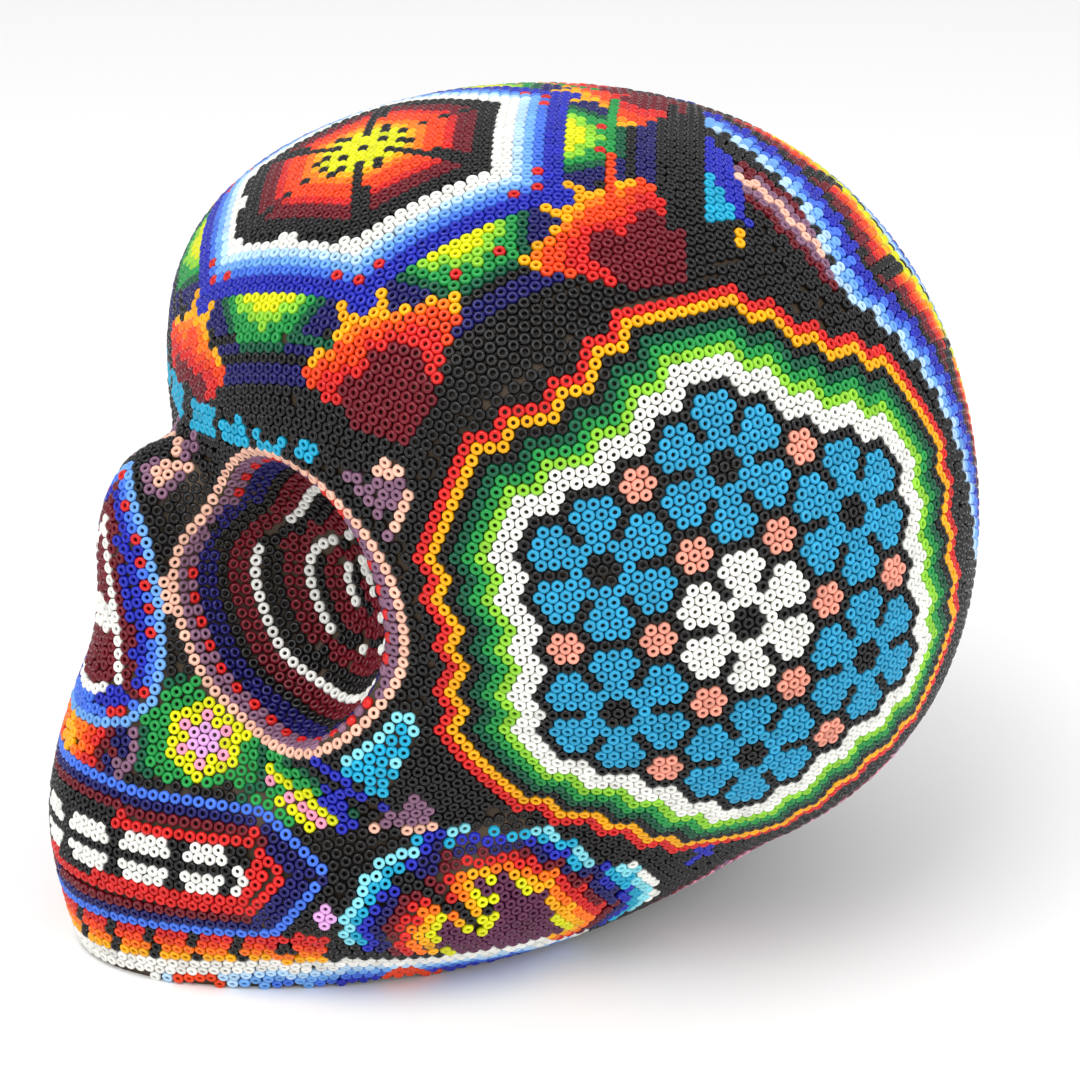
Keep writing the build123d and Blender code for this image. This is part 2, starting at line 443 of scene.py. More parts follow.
def back(ring, side, place, count, p):
    if ring <= BACK_MEDALLION:
        return medallion(ring, side, place, ())
    if ring in BACK_RAYS and (place < 2 or place in (count // 2, count // 2 + 1)):
        return "black"
    if ring == BACK_LAST:
        return "pale" if place % 3 else "black"
    step = ring - BACK_MEDALLION - 1 + (ring > BACK_BORDER and place % 3 == 0)
    return BACK_SHADES[min(step, len(BACK_SHADES) - 1)]


# ---- Eye socket: rings inward from the rim ------------------------------------------

EYE_RINGS = ("peach", "mauve", None, "navy", "navy", "black", "wine", "wine", "white", "black",
             "black", "wine", "wine", "white", "black", "wine", "wine", "white", "black", "wine",
             "white", "black", "wine")
SPOKES = 240
SPOKE_LENGTH = 58
STEP = 0.25  # between points on a spoke
FOCUS_SHIFT = 14  # from the bottom of the bowl outwards to the point that the rings close in on
LIP_ROWS = 2.0  # rows that lie outside the rim on its outer side
SMOOTHING = 9  # spokes over which the rim is averaged


def spokes_from(start):
    """Points along spokes walked outwards over the bowl from the start to past the rim."""
    n = unit(slope(start[None]))[0]
    e1 = unit(np.cross((0, 0, 1.0), n))
    e2 = np.cross(n, e1)
    angles = np.arange(SPOKES) * 2 * pi / SPOKES
    d = np.cos(angles)[:, None] * e1 + np.sin(angles)[:, None] * e2
    p = np.repeat(start[None], SPOKES, 0)
    table = [p]
    for _ in range(int(SPOKE_LENGTH / STEP)):
        p = settle(p + d * STEP, 1)
        n = unit(slope(p))
        d = unit(d - (d * n).sum(-1, keepdims=True) * n)
        table.append(p)
    return np.array(table)


def resample(curve, pitch, closed):
    """Evenly spaced points along a curve, a whole number of pitches apart if it is closed."""
    if closed:
        curve = np.vstack([curve, curve[:1]])
    whole = lengths(curve)[-1]
    count = max(int(round(whole / pitch)), 1)
    at = np.arange(count + (0 if closed else 1)) * whole / count
    return at_lengths(curve, at)


def eye():
    """Lay rows of beads in the socket, each a row's width inside the one before."""
    t = radians(SOCKET_TURN)
    inward, sideways = np.array([-sin(t), cos(t), 0]), np.array([cos(t), sin(t), 0])
    bottom = settle(np.array(SOCKET_CENTRE) + inward * SOCKET_RADII[1])[0]
    start = walk(bottom, [sideways], [FOCUS_SHIFT])[0]
    table = spokes_from(start)
    flat = table.reshape(-1, 3)
    lip = (bone(flat) + socket(flat)).reshape(table.shape[:2])
    rim = np.array([np.argmax(lip[:, s] > 0) or len(table) - 1 for s in range(SPOKES)], float)
    wide = np.concatenate([rim[-SMOOTHING:], rim, rim[:SMOOTHING]])
    rim = np.convolve(wide, np.ones(SMOOTHING) / SMOOTHING, "same")[SMOOTHING:-SMOOTHING]
    spokes = np.arange(SPOKES)
    ends = table[np.minimum(rim.astype(int), len(table) - 1), spokes]
    outer = np.clip(unit(ends - np.array(SOCKET_CENTRE)) @ sideways, 0, 1)
    rim = rim + LIP_ROWS * ROW / STEP * outer ** 1.5
    for k, colour in enumerate(EYE_RINGS):
        at = rim - (k * ROW - 0.2) / STEP
        keep = at > 2
        if keep.sum() < 6:
            break
        low = np.clip(at.astype(int), 0, len(table) - 2)
        share = (np.clip(at, 0, len(table) - 1) - low)[:, None]
        curve = table[low, spokes] * (1 - share) + table[low + 1, spokes] * share
        closed = bool(keep.all())
        if not closed:
            turn = int(np.argmin(keep)) if not keep[0] else int(np.where(~keep)[0][-1]) + 1
            curve, keep = np.roll(curve, -turn, 0), np.roll(keep, -turn)
            curve = curve[keep]
        for n, p in enumerate(settle(resample(curve, PITCH, closed))):
            shade = colour or ("red" if n % 2 else "mauve")
            beads.add(p, shade, "eye_socket", 0.82 * PITCH)


# ---- Growing beads outwards from those already laid ---------------------------------

def grow(inside, paint, gap=0.9 * PITCH, generations=120):
    """Fill the area where inside(points) holds, bead against bead; paint gives colour and node."""
    front = range(len(beads.points))
    for _ in range(generations):
        pairs = []
        for q in front:
            a = np.array(beads.points[q])
            for r in beads.around(a):
                b = np.array(beads.points[r])
                if r != q and 0.8 * PITCH < np.linalg.norm(a - b) < 1.3 * PITCH:
                    pairs.append((a, b))
        if not pairs:
            break
        a = np.array([p[0] for p in pairs])
        b = np.array([p[1] for p in pairs])
        n = unit(slope((a + b) / 2))
        across = unit(np.cross(n, b - a))
        half = np.linalg.norm(b - a, axis=1)[:, None] / 2
        height = np.sqrt(np.maximum((PITCH * 1.005) ** 2 - half ** 2, 0.3))
        middle = (a + b) / 2
        spots = settle(np.vstack([middle + across * height, middle - across * height]), 2)
        spots = spots[inside(spots) & (spots[:, 2] > LOWEST)]
        if len(spots) == 0:
            break
        first = len(beads.points)
        colours, nodes = paint(spots)
        for p, colour, node in zip(spots, colours, nodes):
            beads.add(p, colour, node, gap)
        front = range(first, len(beads.points))


def trail(*corners, spacing=0.4):
    """A line over the surface through the given corners."""
    corners = settle(np.array(corners, float))
    points = []
    for a, b in zip(corners[:-1], corners[1:]):
        count = max(int(np.linalg.norm(b - a) / spacing), 1)
        points.append(a + (b - a) * (np.arange(count) / count)[:, None])
    return settle(np.vstack(points + [corners[-1:]]))


def lengths(line):
    """How far along a line each of its points lies."""
    return np.concatenate([[0], np.cumsum(np.linalg.norm(np.diff(line, axis=0), axis=1))])


def at_lengths(line, at):
    length = lengths(line)
    return np.stack([np.interp(at, length, line[:, k]) for k in range(3)], -1)


def lay(line, colour, node):
    """A row of beads along a line."""
    at = np.arange(int(lengths(line)[-1] / PITCH) + 1) * PITCH
    for p in settle(at_lengths(line, at)):
        beads.add(p, colour, node)


def away(points, line):
    """Distance of each point from a line."""
    best = np.full(len(points), 1e9)
    for start in range(0, len(line), 64):
        part = line[start:start + 64]
        d = np.linalg.norm(points[:, None] - part[None], axis=-1).min(1)
        best = np.minimum(best, d)
    return best


def within(u, v, outline):
    """Whether each point (u, v) lies inside the outline."""
    inside = np.zeros(len(u), bool)
    for (u0, v0), (u1, v1) in zip(outline, outline[1:] + outline[:1]):
        crosses = (v0 > v) != (v1 > v)
        at = u0 + (v - v0) * (u1 - u0) / ((v1 - v0) or 1e-9)
        inside ^= crosses & (u < at)
    return inside


# ---- Laying the beads, the tidiest fields first -------------------------------------

ROSETTE_CENTRE = (75.6, 11.8, 77.4)
ROSETTE_LEAN = radians(5.5)
CROWN_CENTRE = (0, -25, 142)
BACK_CENTRE = (0, 76, 108)


def crown_node(ring):
    if ring <= MEDALLION_EDGE:
        return "crown_medallion"
    return "crown_blue_ring" if ring < FIELD_START else "crown_petals"


def back_node(ring):
    if ring <= BACK_MEDALLION:
        return "back_medallion"
    return "back_border" if ring <= BACK_BORDER else "ground"


chart(ROSETTE_CENTRE, (0, -cos(ROSETTE_LEAN), -sin(ROSETTE_LEAN)), ROSETTE_REACH, rosette, rosette_node)
eye()
rings(CROWN_CENTRE, (0, -1, 0), CROWN_LAST, crown, crown_node, squeeze=0.9)
rings(BACK_CENTRE, (0, 0, 1), BACK_LAST, back, back_node)

# Face: rows of beads follow the outlines of the nose and the mouth.

NOSE = ((0, -70, 92), (4, -70, 88), (8.6, -68.5, 80), (11.5, -68, 70), (13.5, -68.5, 60), (15, -71, 53),
        (13, -75, 49), (8, -79, 47.4), (0, -81, 46.8))
NOSE_LINE = ((0, -72, 81), (2.4, -73, 76), (5, -75, 67), (8.5, -75, 54.5), (4, -79, 52.2), (0, -80, 52))
MOUTH = ((0, -84, 39), (20, -78, 39), (36, -60, 39), (43.5, -50, 29), (37.5, -58, 15.8), (20, -76, 13.6),
         (0, -84, 12.8))
SPLIT = ((0, -85.7, 26.4), (13, -82.2, 26.6), (23.3, -74.8, 26.9), (30.7, -67.1, 27.4), (35.5, -60.8, 28))
OPENING_EDGE = 2.9  # width of the wine edge round the nose's opening
NOSE_MIDDLE = (1.6, -75.6, 64)
NOSE_MIDDLE_RADIUS = 3.4
NOSE_ROWS = ("sky", "dots", "royal", "royal", "black", "wine")
MOUTH_ROWS = ("corn", "navy", "wine", "red")
MOUTH_END = ("corn", "navy", "navy", "red", "red", "red")
MOUTH_END_START = 36  # x where the outer end of the mouth starts
TOOTH_PITCH = 12.2
TOOTH_HALF = 5.0
LAST_TOOTH = 41.0  # along the middle row of the mouth
CHEVRON = 44.0  # along the middle row of the mouth
nose_line, nose_inner = trail(*NOSE), trail(*NOSE_LINE)
mouth_line, split_line = trail(*MOUTH), trail(*SPLIT)


def front(line):
    """The outline seen from the front, with its mirror image."""
    return [(p[0], p[2]) for p in line] + [(-p[0], p[2]) for p in line[::-1]]


nose_outline, inner_outline, mouth_outline = front(nose_line), front(nose_inner), front(mouth_line)


def near(p, centre, reach):
    """Whether a point lies within reach of a centre."""
    return (p[0] - centre[0]) ** 2 + (p[1] - centre[1]) ** 2 + (p[2] - centre[2]) ** 2 < reach * reach


def row_of(d):
    """The row of beads at a distance from an outline."""
    return (d / ROW + 0.5).astype(int)


def along(points, line):
    """How far along a line each point lies, and where on the line that is."""
    nearest = np.array([np.linalg.norm(line - p, axis=1).argmin() for p in points])
    return lengths(line)[nearest], line[nearest]


def paint_nose(points):
    rows = row_of(away(points, nose_line))
    inner = away(points, nose_inner)
    inside = within(points[:, 0], points[:, 2], inner_outline)
    colours = []
    for p, row, d, opening in zip(points, rows, inner, inside):
        shade = NOSE_ROWS[min(row, len(NOSE_ROWS) - 1)]
        if shade == "dots":
            shade = "red" if int(p[2] / PITCH) % 2 else "corn"
        if opening:
            shade = "white" if near(p, NOSE_MIDDLE, NOSE_MIDDLE_RADIUS) else "wine"
        elif row > 2 and d < OPENING_EDGE:
            shade = "wine"
        colours.append(shade)
    return colours, ["nose"] * len(points)


def tooth(s, row):
    """Colour of a bead of the mouth's middle rows: blocks that narrow away from the middle row."""
    if s > LAST_TOOTH:
        return "white" if abs(s - CHEVRON + abs(row) * ROW / 2) < PITCH / 2 else "black"
    off = abs((s + TOOTH_PITCH / 2) % TOOTH_PITCH - TOOTH_PITCH / 2)
    return "white" if row and off < TOOTH_HALF - PITCH / 2 * (abs(row) - 1) else "black"


def lay_row(line, row, paint, node):
    """A row of beads beside a line: row counts upwards, and odd rows are staggered."""
    shifted = settle(line + np.array((0, 0, row * ROW)), 3)
    at = (np.arange(int(lengths(shifted)[-1] / PITCH)) + (row % 2) / 2) * PITCH
    for s, p in zip(at, settle(at_lengths(shifted, at))):
        beads.add(p, paint(s, row, p), node, 0.8 * PITCH)


def paint_mouth(points):
    rows = row_of(away(points, mouth_line))
    low = points[:, 2] < split_line[0][2]
    colours = []
    for row, p, under in zip(rows, points, low):
        shades = MOUTH_END if p[0] > MOUTH_END_START else MOUTH_ROWS + ("red",) * int(under)
        colours.append(shades[row] if row < len(shades) else "black")
    return colours, ["mouth"] * len(points)


# Brow: blocks of turquoise with black between.

BROW_LINE = trail((0, -58, 99), (8, -57.5, 100), (19, -55.5, 101.4), (29, -52.3, 102.8), (40, -47, 100.6))
BROW_BLOCKS = ((2.2, 12.6), (14.6, 22.6), (24.8, 32.4), (34.2, 39.6))  # from x to x


def brow(s, row, p):
    """The outermost block has no third row."""
    low = row < 0 and p[0] > BROW_BLOCKS[-1][0]
    return "turquoise" if not low and any(a < p[0] < b for a, b in BROW_BLOCKS) else "black"


# A six-pointed flower on the cheek.

CHEEK = (22.4, -64.2, 47.6)
CHEEK_LOWEST = 40.6
CHEEK_INNER = 15.2
CHEEK_RINGS = ("lilac", "lilac", "pink", "lemon", "green", "green", "pine")


def cheek(i, j, p):
    ring, _, place = side_of(i, j)
    if p[2] < CHEEK_LOWEST or p[0] < CHEEK_INNER:
        return None
    return "lemon" if ring == 2 and place else CHEEK_RINGS[ring]


lay(nose_line, "sky", "nose")
lay(mouth_line, "corn", "mouth")
lay(nose_inner, "white", "nose")
for row in (0, 1, -1, 2, -2):
    lay_row(split_line, row, lambda s, row, p: tooth(s, row), "mouth")
for row in (0, 1, -1):
    lay_row(BROW_LINE, row, brow, "brow")
PATTERNED = len(beads.points)  # the beads laid so far keep their places
grow(lambda p: within(p[:, 0], p[:, 2], nose_outline) & (p[:, 1] < -55), paint_nose)
grow(lambda p: within(p[:, 0], p[:, 2], mouth_outline) & (p[:, 1] < -40), paint_mouth)
chart(CHEEK, (1, 0, 0), len(CHEEK_RINGS) - 1, cheek, "cheek", 0.88 * PITCH)

# ---- Motifs in the fields between, each by its place ---------------------------------
# A line runs over the surface; an area is an outline seen from the side, as (y, z).

LIP_STRIPES = ((2.6, "amber"), (5, "orange"), (7, "scarlet"), (9.4, "red"), (11.4, "wine"), (13.4, "navy"),
               (16, "mauve"))
CHIN_ROWS = ("red", "red", "scarlet", "orange", "amber", "white", "white", "pale", "sky", "corn", "royal")
FLAME_ROWS = 5  # rows of the chin's flame band, which black bars cross
BAR_PITCH = 8.5
BAR_WIDTH = 1.9
BAR_START = 6.4
BAR_SLANT = 0.25
TRAPEZOIDS = (22.8, -67.8, 1.6), (36.5, -33.5, 2)
JAW_ROWS = ("lemon", "amber", "orange", "red", "wine", "navy", "royal", "turquoise", "aqua", "white")
SECOND_ROWS = ("pink", "lemon", "green", "pine")
DOTS = ((42.6, -47.8, 33.5), (43.6, -47.9, 30.2), (44.4, -48.5, 27.2))
PINK_PATCH = (43.4, -49.2, 20.6)
CELL = (54.6, 12.5, 24.4)
CLUSTER = (46.6, 23.8, 133)

LINES = {
    "chin": trail((0, -84.6, 12.9), (20, -76, 13.7), (33, -62, 15.2), (40, -51, 16), (43.5, -42, 17.5),
                  (46, -30, 18), (48, -12, 17), (46, -2, 14)),
    "temple": trail((46.1, -42.9, 100.9), (49.6, -40.1, 102.2), (52.8, -36.9, 100.2), (52.1, -37.5, 97.6),
                    (50.4, -38.8, 92.4)),
    "arrow": trail((43.7, -48.3, 49.6), (50.5, -36.5, 61.1), (51.4, -36.2, 55.5), (49.4, -39.9, 47.9)),
    "streak": trail((41.8, -49.9, 48.8), (46.6, -42.1, 41.5)),
    "low streak": trail((41.3, -49.3, 43.3), (43.4, -45.3, 35.5)),
    "second flower": trail((28.5, -57.6, 45.6), (34.5, -54.2, 41.3), (40.7, -48.9, 37.0)),
    "nasion": trail((2.7, -60.4, 94.5), (6, -65.3, 90.2)),
    "core": trail((51.6, -25.2, 26.2), (52.5, -18.5, 25.2), (52.3, -14.2, 20.5), (47.5, -7.3, 11.4),
                  (44.5, -25.0, 8.6), (46.6, -29.7, 11.3), (49.4, -32.8, 17.6), (50.1, -26.7, 16.4),
                  (49.6, -23.8, 14.5), (51.5, -21.7, 18.4), (51.9, -24.7, 22.6), (51.6, -25.2, 26.2)),
    "notch": trail((48, -38.9, 28.5), (50, -34.3, 25.2), (51.1, -28.9, 21.2), (51.2, -24.4, 18.3)),
    "hem": trail((38, 16, 8.5), (41, 22, 11.5), (47, 34, 19), (53, 45, 28.5), (54, 56, 36), (47, 68, 40),
                 (34, 77, 42), (16, 83, 43), (0, 85, 43)),
    "zigzag": trail((30, 30, 140.4), (36, 34.5, 135.5), (42, 37.5, 131), (48, 43.6, 123.5)),
}
AREAS = {
    "temple": [(-46.8, 101), (-42.9, 101), (-40.1, 102.4), (-36.6, 100.4), (-37.2, 97), (-38.5, 91.5),
               (-39.2, 88.5), (-41.4, 93.5)],
    "arrow": [(-48.3, 49.6), (-36.2, 61.6), (-35.9, 55.5), (-39.5, 47.9), (-41.4, 42.6)],
    "patch": [(-37.1, 46.9), (-38.1, 42.4), (-42.6, 35.6), (-31.3, 35.3), (-33.8, 42.9)],
    "core": [(p[1], p[2]) for p in LINES["core"]],
    "jaw": [(-49, 35.5), (-49.5, 16), (-40, 11.5), (-12, 7), (4, 7), (13, 15), (14, 25), (4, 34), (-25, 36)],
    "triangle": [(18, 136), (30, 146), (32, 141), (27, 134)],
}


def upper_lip(p, d, area):
    if p[1] < -60 and 38 < p[2] < 56:
        for edge, shade in LIP_STRIPES:
            if p[0] < edge:
                return shade, "upper_lip"
    return None


def chin(p, d, area):
    """A flame band crossed by slanted black bars, then pale and blue rows down to the base."""
    row = int(d["chin"] / ROW + 0.5)
    below = p[1] < 0 and p[2] < min(d["chin height"] + 0.6, 16)
    if not below or (row < FLAME_ROWS and p[1] >= -47.5):
        return None
    bar = (d["along chin"] - BAR_START + BAR_SLANT * d["chin"]) % BAR_PITCH < BAR_WIDTH
    shade = CHIN_ROWS[min(row, len(CHIN_ROWS) - 1)]
    if row < FLAME_ROWS and bar:
        shade = "black"
    if row > 6 and any(near(p, middle, 4.2) for middle in TRAPEZOIDS):
        shade = "scarlet"
    return shade, "chin_band"


def jaw(p, d, area):
    """A fan of rainbow rows round a plum core, with a black notch in it."""
    if not area["jaw"] or p[0] <= 38:
        return None
    if d["notch"] < 1.2:
        return "black", "jaw"
    if area["core"]:
        return "plum", "jaw"
    squeezed = 1.45 if p[2] > 26 and p[1] > -30 else 1.0
    row = int(d["core"] * squeezed / ROW + 0.35)
    if row < len(JAW_ROWS) and (row < 9 or p[1] > -10):
        return JAW_ROWS[row], "jaw"
    return "black", "jaw"


def temple(p, d, area):
    if p[0] > 38 and d["temple"] < 1.1:
        return "peach", "temple"
    if p[0] > 38 and area["temple"]:
        return "mauve", "temple"
    return None


def cheek_side(p, d, area):
    """The turquoise arrow with its royal streaks, the mauve patch and the second flower."""
    if area["arrow"] and p[0] > 40:
        return ("aqua" if d["arrow"] < 1.3 else "turquoise"), "cheek_arrow"
    if d["streak"] < 1.4 or d["low streak"] < 1.8:
        return "royal", "ground"
    if area["patch"] and p[0] > 40:
        return ("peach" if p[2] < 37.4 else "mauve"), "ground"
    if d["second flower"] < 6.6 and p[2] > 36 and p[0] > 24:
        return SECOND_ROWS[min(int(d["second flower"] / ROW + 0.45), 3)], "cheek"
    return None


def face_details(p, d, area):
    if d["nasion"] < 1.1:
        return "peach", "ground"
    if d["nasion"] < 3.6 and p[0] > 3.4 and p[2] > 87:
        return "mauve", "ground"
    if any(near(p, dot, 1.15) for dot in DOTS) or near(p, PINK_PATCH, 2.6):
        return "lilac", "ground"
    return None


def rear_details(p, d, area):
    if near(p, CELL, 4.6):
        return ("pale" if near(p, CELL, 2.0) else "royal"), "ground"
    if d["hem"] < 5.2:
        return ("pink" if d["hem"] < 1.2 else "mauve" if d["hem"] < 3.2 else "wine"), "ground"
    if near(p, CLUSTER, 1.7):
        return "amber", "ground"
    if area["triangle"] and p[0] > 15:
        return ("turquoise" if p[1] < 25 else "royal"), "ground"
    if d["zigzag"] < 5.2:
        return ("peach" if d["zigzag"] < 1.1 else "mauve" if d["zigzag"] < 3.2 else "wine"), "ground"
    return None


MOTIFS = (upper_lip, chin, jaw, temple, cheek_side, face_details, rear_details)


def paint_rest(points):
    """The first motif that claims a bead gives its colour and node; the rest is black ground."""
    distances = {name: away(points, line) for name, line in LINES.items()}
    distances["along chin"], on = along(points, LINES["chin"])
    distances["chin height"] = on[:, 2]
    areas = {name: within(points[:, 1], points[:, 2], outline) for name, outline in AREAS.items()}
    colours, nodes = [], []
    for k, p in enumerate(points):
        d = {name: values[k] for name, values in distances.items()}
        area = {name: values[k] for name, values in areas.items()}
        claims = (motif(p, d, area) for motif in MOTIFS)
        shade, node = next((claim for claim in claims if claim), ("black", "ground"))
        colours.append(shade)
        nodes.append(node)
    return colours, nodes


grow(lambda p: np.ones(len(p), bool), paint_rest)


# ---- Closing gaps, evening out and seating on the wax --------------------------------

NEIGHBOUR = 1.35 * PITCH  # beads nearer than this are neighbours
ASKEW = (0.31, 0.52, 0.8)  # a direction along none of the fields
REACH_UP = 4  # a ray to the wax starts this far above a bead
SEAT = 0.55  # least height of a bead's top above the wax


def fill(gap):
    """Set a bead wherever there is still room: black beside black, or else its neighbour's colour."""
    ways = 12
    p = np.array(beads.points)
    n = unit(slope(p))
    e1 = unit(np.cross(n, ASKEW))
    e2 = np.cross(n, e1)
    for k in range(ways):
        turn = 2 * pi * k / ways
        spots = settle(p + (cos(turn) * e1 + sin(turn) * e2) * gap * 1.02, 2)
        for q, spot in enumerate(spots):
            if not beads.free(spot, gap):
                continue
            close = [r for r in beads.around(spot) if np.linalg.norm(spot - beads.points[r]) < NEIGHBOUR]
            dark = [r for r in close if beads.colours[r] == "black"]
            loose = [r for r in close if r >= PATTERNED]
            source = dark[0] if len(dark) > 2 else loose[0] if loose else q
            beads.add(spot, beads.colours[source], beads.nodes[source], gap)


def even_out(p, first, rounds, room):
    """Push the beads from number first on apart where they crowd each other."""
    for _ in range(rounds):
        tree = KDTree(len(p))
        for q, place in enumerate(p):
            tree.insert(place, q)
        tree.balance()
        push = np.zeros_like(p)
        for q in range(first, len(p)):
            for place, r, d in tree.find_range(p[q], room):
                if r != q:
                    push[q] += (p[q] - np.array(place)) * (room - d) / max(d, 0.2)
        push[p[:, 0] < ON_MIDDLE] = 0
        p = settle(p + 0.5 * push, 1)
    return p


def seat(p, depth):
    """Lift the beads that would sink too deep into the wax."""
    coat = frame["nodes"]["wax_coat"].data
    corners = [tuple(v.co / MM) for v in coat.vertices]
    tree = BVHTree.FromPolygons(corners, [tuple(f.vertices) for f in coat.polygons])
    n = unit(slope(p))
    lifted = p.copy()
    for q in range(len(p)):
        fall = tree.ray_cast(Vector(p[q] + n[q] * REACH_UP), Vector(-n[q]), 2 * REACH_UP)[3]
        height = REACH_UP if fall is None else fall - REACH_UP
        if height < depth:
            lifted[q] = p[q] + n[q] * (depth - height)
    return lifted


for room in (0.84 * PITCH, 0.75 * PITCH):
    fill(room)

# ---- Building the bead meshes --------------------------------------------------------

# Half the cross section of a bead: distance from its axis, and height over the outer surface.
PROFILE = ((0.36, -1.2), (0.38, -0.22), (0.66, 0.0), (0.98, -0.22), (1.09, -0.7), (0.92, -1.25))
SEGMENTS = 10
MOST_BEADS = 1600  # in one piece
BESIDE = (0.3, 0.5, 0.81)  # a direction along none of the beads' axes
TILT = 0.045
SIZE_SPREAD = 0.018
HEIGHT_SPREAD = 0.05
SINK, SINK_SPREAD = 0.06, 0.05
SHADE_SPREAD = 0.07


def bead_faces():
    """The quads of one bead: its profile swept round in segments."""
    rows = len(PROFILE)
    faces = []
    for segment in range(SEGMENTS):
        here, there = segment * rows, (segment + 1) % SEGMENTS * rows
        for k in range(rows):
            m = (k + 1) % rows
            faces.append((here + k, here + m, there + m, there + k))
    return np.array(faces)


FACES = bead_faces()


def bead_mesh(name, places, colours):
    """One mesh of many beads, each bead its own closed ring with its colour."""
    count = len(places)
    n = unit(slope(places))
    n = unit(n + rng.normal(0, TILT, (count, 3)))
    e1 = unit(np.cross(n, np.array(BESIDE)))
    e2 = np.cross(n, e1)
    size = rng.normal(1.0, SIZE_SPREAD, (count, 1, 1)).clip(0.95, 1.05)
    squash = rng.normal(1.0, HEIGHT_SPREAD, (count, 1, 1)).clip(0.88, 1.1)
    sink = rng.normal(SINK, SINK_SPREAD, (count, 1, 1)).clip(0, 0.2)
    turn = rng.uniform(0, 2 * pi, count)
    angle = turn[:, None] + np.arange(SEGMENTS) * 2 * pi / SEGMENTS
    out = np.cos(angle)[..., None] * e1[:, None] + np.sin(angle)[..., None] * e2[:, None]
    radius = np.array([r for r, _ in PROFILE])
    height = np.array([h for _, h in PROFILE])
    ring = out[:, :, None, :] * (radius[None, None, :, None] * size[..., None])
    up = n[:, None, None, :] * (height[None, None, :, None] * squash[..., None] - sink[..., None])
    co = places[:, None, None, :] + ring + up
    per = SEGMENTS * len(PROFILE)
    co = co.reshape(-1, 3) * MM
    faces = (FACES[None] + (np.arange(count) * per)[:, None, None]).reshape(-1, 4)
    mesh = bpy.data.meshes.new(name)
    mesh.vertices.add(len(co))
    mesh.vertices.foreach_set("co", co.astype(np.float32).ravel())
    mesh.loops.add(faces.size)
    mesh.loops.foreach_set("vertex_index", faces.astype(np.int32).ravel())
    mesh.polygons.add(len(faces))
    mesh.polygons.foreach_set("loop_start", np.arange(len(faces), dtype=np.int32) * 4)
    mesh.polygons.foreach_set("use_smooth", np.ones(len(faces), bool))
    mesh.update()
    shade = np.array([PALETTE[c] for c in colours])
    shade = shade * rng.normal(1.0, SHADE_SPREAD, (count, 1)).clip(0.8, 1.2)
    rgba = np.ones((count, per, 4), np.float32)
    rgba[..., :3] = shade[:, None, :]
    attribute = mesh.color_attributes.new("bead_colour", "FLOAT_COLOR", "POINT")
    attribute.data.foreach_set("color", rgba.ravel())
    across = ceil(sqrt(count))
    cell = 1.0 / across
    middle = np.stack([np.arange(count) % across + 0.5, np.arange(count) // across + 0.5], -1) * cell
    spin = np.arange(SEGMENTS) * 2 * pi / SEGMENTS
    reach = radius / 1.05 * 0.46 * cell
    disc = np.stack([np.cos(spin), np.sin(spin)], -1)[:, None, :] * reach[None, :, None]
    uv = (middle[:, None, None, :] + disc[None]).reshape(-1, 2)
    layer = mesh.uv_layers.new(name="OFBake")
    layer.data.foreach_set("uv", uv[faces.ravel()].astype(np.float32).ravel())
    mesh.validate()
    return mesh


def glass_material(name, roughness):
    """Glossy glass, coloured bead by bead, with a faint streak and an uneven polish."""
    m = bpy.data.materials.new(name)
    m.use_nodes = True
    nodes, links = m.node_tree.nodes, m.node_tree.links
    shader = nodes["Principled BSDF"]
    colour = nodes.new("ShaderNodeAttribute")
    colour.attribute_name = "bead_colour"
    noise = nodes.new("ShaderNodeTexNoise")
    noise.inputs["Scale"].default_value = 900
    coords = nodes.new("ShaderNodeTexCoord")
    links.new(coords.outputs["Object"], noise.inputs["Vector"])
    ramp = nodes.new("ShaderNodeMapRange")
    ramp.inputs["To Min"].default_value = 0.9
    ramp.inputs["To Max"].default_value = 1.1
    links.new(noise.outputs["Fac"], ramp.inputs["Value"])
    tint = nodes.new("ShaderNodeVectorMath")
    tint.operation = "SCALE"
    links.new(colour.outputs["Color"], tint.inputs[0])
    links.new(ramp.outputs["Result"], tint.inputs["Scale"])
    links.new(tint.outputs["Vector"], shader.inputs["Base Color"])
    polish = nodes.new("ShaderNodeMapRange")
    polish.inputs["To Min"].default_value = roughness * 0.7
    polish.inputs["To Max"].default_value = roughness * 1.3
    links.new(noise.outputs["Fac"], polish.inputs["Value"])
    links.new(polish.outputs["Result"], shader.inputs["Roughness"])
    shader.inputs["IOR"].default_value = 1.5
    shader.inputs["Specular IOR Level"].default_value = 0.3
    return m


def plain_material(name, colour, roughness, scale):
    """A matt, slightly mottled material."""
    m = bpy.data.materials.new(name)
    m.use_nodes = True
    nodes, links = m.node_tree.nodes, m.node_tree.links
    shader = nodes["Principled BSDF"]
    noise = nodes.new("ShaderNodeTexNoise")
    noise.inputs["Scale"].default_value = scale
    mix = nodes.new("ShaderNodeMixRGB")
    mix.inputs["Color1"].default_value = (*(colour * 0.85), 1)
    mix.inputs["Color2"].default_value = (*np.minimum(colour * 1.15, 1), 1)
    links.new(noise.outputs["Fac"], mix.inputs["Fac"])
    links.new(mix.outputs["Color"], shader.inputs["Base Color"])
    shader.inputs["Roughness"].default_value = roughness
    return m


# ---- Pieces --------------------------------------------------------------------------

WHOLE = ("crown_medallion", "crown_blue_ring", "crown_petals", "back_medallion", "back_border",
         "nose", "mouth", "upper_lip", "brow", "chin_band")
slots = {row["node"]: row["material_slot"] for row in frame["record"]["subparts"]}
materials = {}

points = seat(even_out(np.array(beads.points), PATTERNED, 16, 0.98 * PITCH), SEAT)
points[points[:, 0] < ON_MIDDLE, 0] = 0
colours = np.array(beads.colours)
owners = np.array(beads.nodes)
MIRROR = np.array([-1, 1, 1])


